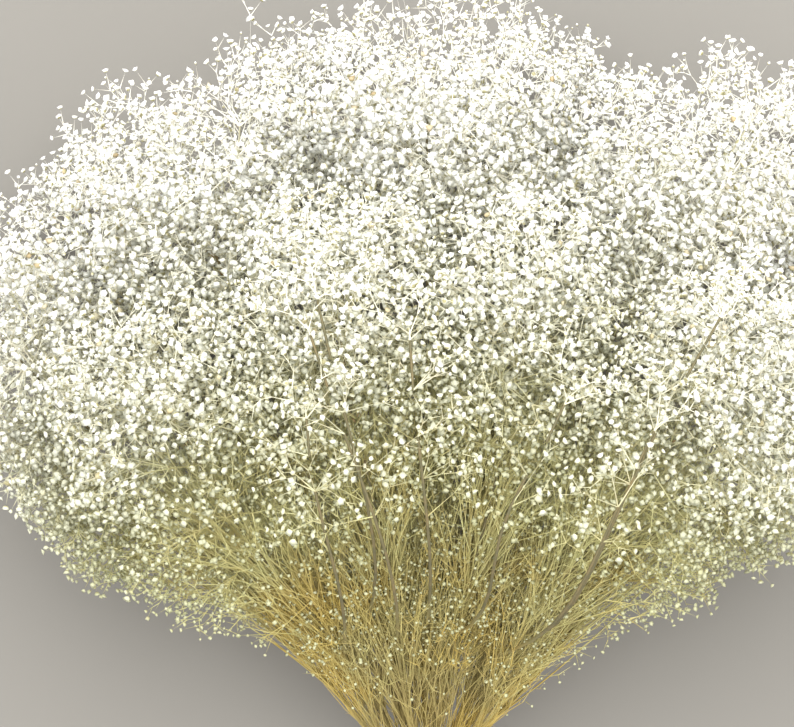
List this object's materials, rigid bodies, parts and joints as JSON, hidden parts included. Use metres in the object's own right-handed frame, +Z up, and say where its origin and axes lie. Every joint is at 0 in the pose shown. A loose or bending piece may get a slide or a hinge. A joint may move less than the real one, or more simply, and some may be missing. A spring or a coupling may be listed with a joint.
{
  "type": "dried gypsophila bunch",
  "caption": "Dried bunch of gypsophila lying on a surface: fine forking stems fan into a wide airy head of tiny off-white florets, tied with twine above bare cut stems.",
  "frame": {"origin": "centre of the bounding box's bottom, on the surface that the bunch lies on", "axes": "+Y from the cut stem ends towards the flower tips, +X across the fan to the right, +Z up from the surface"},
  "size_m": [0.5421, 0.6167, 0.2696],
  "materials": {
    "dried_plant": "matte",
    "twine": "matte"
  },
  "bodies": {
    "root": {"flower_stem_01": "dried_plant", "flower_stem_02": "dried_plant", "flower_stem_03": "dried_plant", "flower_stem_04": "dried_plant", "flower_stem_05": "dried_plant", "flower_stem_06": "dried_plant", "flower_stem_07": "dried_plant", "flower_stem_08": "dried_plant", "flower_stem_09": "dried_plant", "flower_stem_10": "dried_plant", "flower_stem_11": "dried_plant", "flower_stem_12": "dried_plant", "flower_stem_13": "dried_plant", "twine_tie": "twine"}
  },
  "joints": []
}
